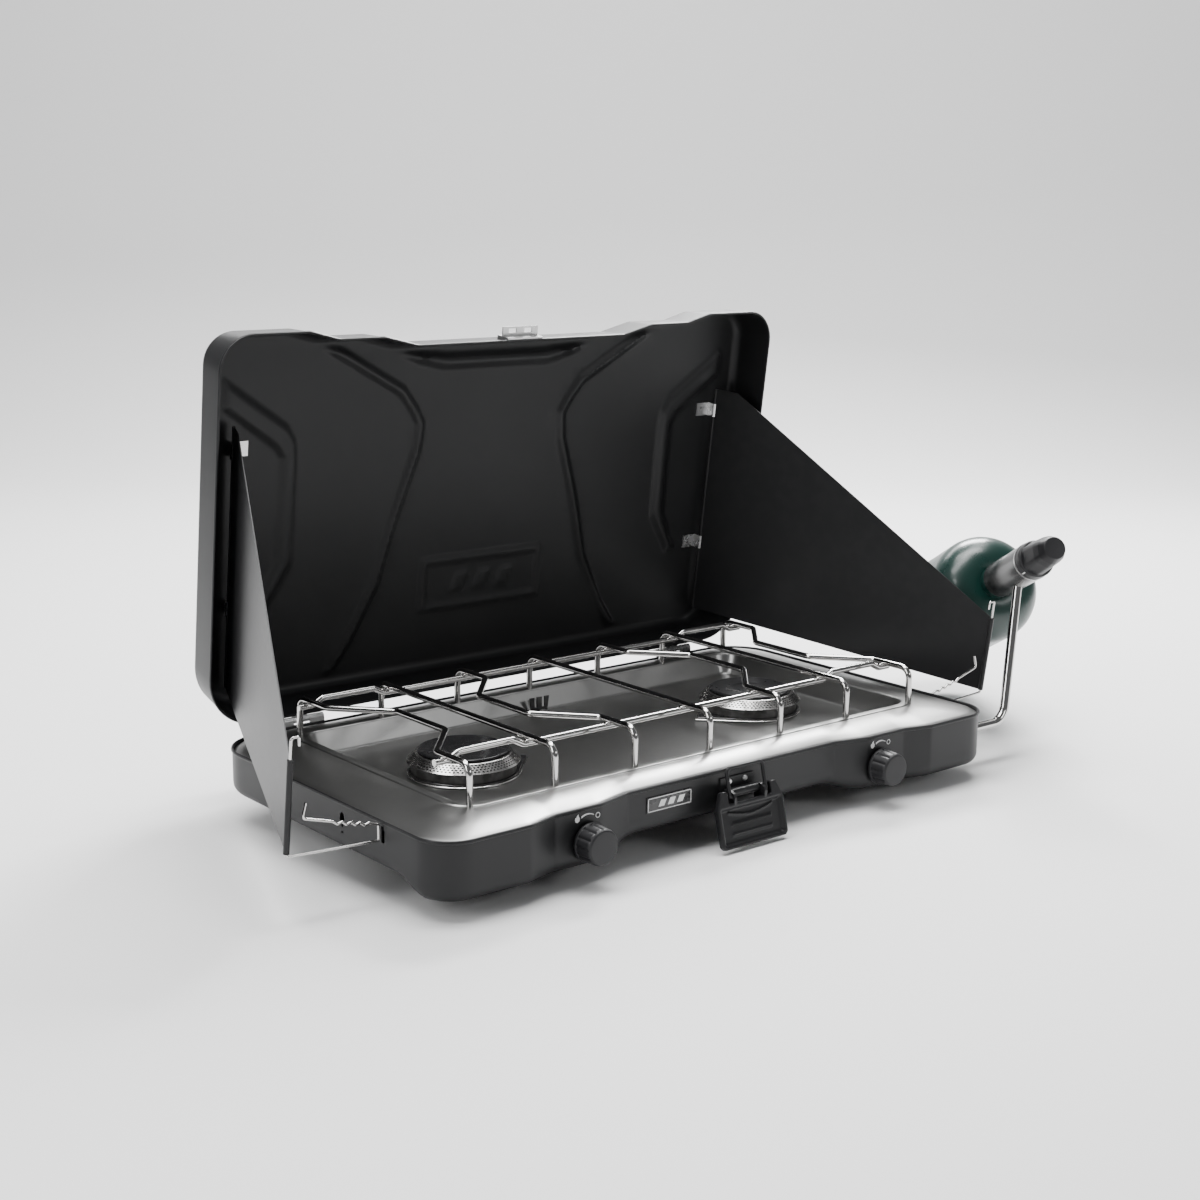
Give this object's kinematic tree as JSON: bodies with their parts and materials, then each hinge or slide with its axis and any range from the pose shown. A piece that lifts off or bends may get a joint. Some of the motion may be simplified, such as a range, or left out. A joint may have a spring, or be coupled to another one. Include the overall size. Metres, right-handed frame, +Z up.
{
  "type": "camping stove",
  "caption": "Portable gas camping stove in a steel case, open for cooking, with wire pan grate, hinged lid, folding side windscreens and a screw-on gas cylinder.",
  "frame": {"origin": "middle of the case's footprint, on the surface that the stove stands on", "axes": "+X along the stove to the cook's right, towards the gas cylinder; -Y towards the cook; +Z up"},
  "size_m": [0.8634, 0.3703, 0.376],
  "materials": {
    "powder_coated_steel": "satin black powder coat",
    "drip_pan_steel": "satin rolled steel",
    "bright_steel": "nickel plated",
    "plated_steel": "zinc plated",
    "burner_iron": "matt, heat darkened",
    "burner_enamel": "black enamel",
    "stainless": "bright rolled",
    "brass": "machined",
    "knob_plastic": "fine moulded grain",
    "latch_plastic": "fine moulded grain",
    "regulator_black": "satin black",
    "rubber": "matt",
    "cylinder_green": "gloss green enamel",
    "badge_plate": "black with a bright border"
  },
  "bodies": {
    "base": {"case_bottom": "powder_coated_steel", "cooktop_panel": "drip_pan_steel", "rubber_feet": "rubber", "foot_screws": "plated_steel", "manifold_pipe": "plated_steel", "inlet_fitting": "brass", "supply_pipe": "bright_steel", "regulator_body": "regulator_black", "regulator_ring": "plated_steel", "regulator_grip": "knob_plastic", "transport_clip": "burner_enamel", "clip_screw": "plated_steel", "front_badge": "badge_plate", "latch_bracket": "powder_coated_steel", "latch_rivets": "plated_steel", "hinge_base_leaves": "plated_steel", "hinge_pins": "plated_steel", "burner_trim_left": "stainless", "burner_body_left": "burner_iron", "burner_ring_left": "stainless", "burner_cap_left": "burner_enamel", "mixing_tube_left": "plated_steel", "valve_left": "brass", "burner_trim_right": "stainless", "burner_body_right": "burner_iron", "burner_ring_right": "stainless", "burner_cap_right": "burner_enamel", "mixing_tube_right": "plated_steel", "valve_right": "brass"},
    "grate": {"grate_front_rail": "bright_steel", "grate_rear_rail": "bright_steel", "grate_wire_1": "bright_steel", "grate_wire_2": "bright_steel", "grate_wire_3": "bright_steel", "grate_wire_4": "bright_steel", "grate_wire_5": "bright_steel", "grate_wire_6": "bright_steel", "grate_wire_7": "bright_steel"},
    "cylinder": {"gas_cylinder": "cylinder_green"},
    "knob_left": {"knob_left": "knob_plastic", "knob_stem_left": "brass"},
    "knob_right": {"knob_right": "knob_plastic", "knob_stem_right": "brass"},
    "latch_lever": {"latch_lever": "latch_plastic", "latch_pin": "plated_steel"},
    "latch_bail": {"latch_bail": "powder_coated_steel"},
    "lid": {"lid_shell": "powder_coated_steel", "lid_catch": "plated_steel", "hinge_lid_leaves": "plated_steel", "windscreen_clips_left": "plated_steel", "windscreen_clips_right": "plated_steel", "screen_clip_rivets": "plated_steel"},
    "screen_left": {"windscreen_left": "powder_coated_steel"},
    "screen_right": {"windscreen_right": "powder_coated_steel"},
    "wire_left": {"windscreen_wire_left": "bright_steel"},
    "wire_right": {"windscreen_wire_right": "bright_steel"}
  },
  "joints": [
    {"name": "lid_hinge", "type": "hinge", "parent": "base", "child": "lid", "pos_m": [0, 0.1601, 0.0612], "axis": [1, 0, 0], "range_deg": [-20, 0]},
    {"name": "screen_right_swing", "type": "hinge", "parent": "lid", "child": "screen_right", "pos_m": [0.2508, 0.17486, 0.19522], "axis": [0, -0.1288, 0.9917], "range_deg": [0, 3]},
    {"name": "screen_left_swing", "type": "hinge", "parent": "lid", "child": "screen_left", "pos_m": [-0.2508, 0.17486, 0.19522], "axis": [0, 0.1288, -0.9917], "range_deg": [0, 10]},
    {"name": "wire_right_fold", "type": "hinge", "parent": "screen_right", "child": "wire_right", "pos_m": [0.35389, -0.08263, 0.04833], "axis": [0, 0.1288, -0.9917], "range_deg": [0, 50]},
    {"name": "wire_left_fold", "type": "hinge", "parent": "screen_left", "child": "wire_left", "pos_m": [-0.35389, -0.08263, 0.04833], "axis": [0, -0.1288, 0.9917], "range_deg": [0, 50]},
    {"name": "grate_lift", "type": "slide", "parent": "base", "child": "grate", "axis": [0, 0, 1], "range_m": [0, 0.03]},
    {"name": "knob_left_turn", "type": "hinge", "parent": "base", "child": "knob_left", "pos_m": [-0.15, -0.168, 0.0319], "axis": [0, -1, 0], "range_deg": [0, 150]},
    {"name": "knob_right_turn", "type": "hinge", "parent": "base", "child": "knob_right", "pos_m": [0.15, -0.168, 0.0319], "axis": [0, -1, 0], "range_deg": [0, 150]},
    {"name": "latch_lever_turn", "type": "hinge", "parent": "base", "child": "latch_lever", "pos_m": [0, -0.15, 0.0405], "axis": [-1, 0, 0], "range_deg": [-8, 45]},
    {"name": "latch_bail_turn", "type": "hinge", "parent": "latch_lever", "child": "latch_bail", "pos_m": [0, -0.155, 0.0395], "axis": [-1, 0, 0], "range_deg": [-45, 8]},
    {"name": "cylinder_unscrew", "type": "hinge", "parent": "base", "child": "cylinder", "pos_m": [0.385, -0.0744, 0.1435], "axis": [0.4065, 0.8117, -0.4195], "range_deg": [0, 720]}
  ],
  "couplings": [
    {"joint": "latch_bail_turn", "follows": "latch_lever_turn", "ratio": -1}
  ]
}
